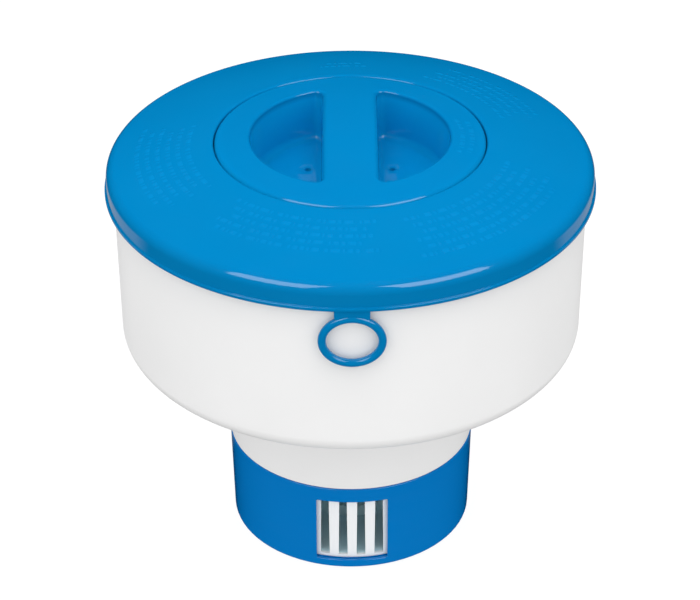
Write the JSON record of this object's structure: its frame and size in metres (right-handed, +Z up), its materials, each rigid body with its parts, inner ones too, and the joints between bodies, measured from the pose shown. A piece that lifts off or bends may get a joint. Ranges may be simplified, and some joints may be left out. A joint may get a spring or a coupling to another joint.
{
  "type": "floating chlorine dispenser",
  "caption": "Bowl-shaped pool float with a domed lid, a flush twist cap with a grip bar, a tether eye under the rim and a turning slotted dosing cup on its neck.",
  "frame": {"origin": "centre of the footprint, at the underside of the dosing cup on which the float stands", "axes": "+Z up along the float's axis, -Y towards the tether eye and one dosing window, +X to the right"},
  "size_m": [0.178, 0.178, 0.1627],
  "materials": {
    "cover_blue": "glossy moulded",
    "cap_blue": "glossy moulded",
    "regulator_blue": "glossy moulded",
    "float_white": "satin moulded",
    "basket_white": "satin moulded",
    "retainer_white": "satin moulded",
    "seal_rubber": "soft matt"
  },
  "bodies": {
    "float": {"float_shell": "float_white", "float_cover": "cover_blue", "cover_gasket": "seal_rubber", "tablet_chamber": "basket_white", "chamber_seal": "seal_rubber", "neck_gasket": "seal_rubber", "retainer_washer": "retainer_white", "retainer_screw": "retainer_white"},
    "regulator": {"regulator_cup": "regulator_blue"},
    "cap_ring": {"cap_seal": "seal_rubber"},
    "cap": {"twist_cap": "cap_blue"}
  },
  "joints": [
    {"name": "regulator_turn", "type": "hinge", "parent": "float", "child": "regulator", "pos_m": [0, 0, 0.0057], "axis": [0, 0, 1], "range_deg": [0, 60]},
    {"name": "cap_rise", "type": "slide", "parent": "float", "child": "cap_ring", "axis": [0, 0, 1], "range_m": [0, 0.0301]},
    {"name": "cap_turn", "type": "hinge", "parent": "cap_ring", "child": "cap", "pos_m": [0, 0, 0.151], "axis": [0, 0, 1], "range_deg": [0, 450]}
  ],
  "couplings": [
    {"joint": "cap_rise", "follows": "cap_turn", "m_per_rad": 0.0038197}
  ]
}
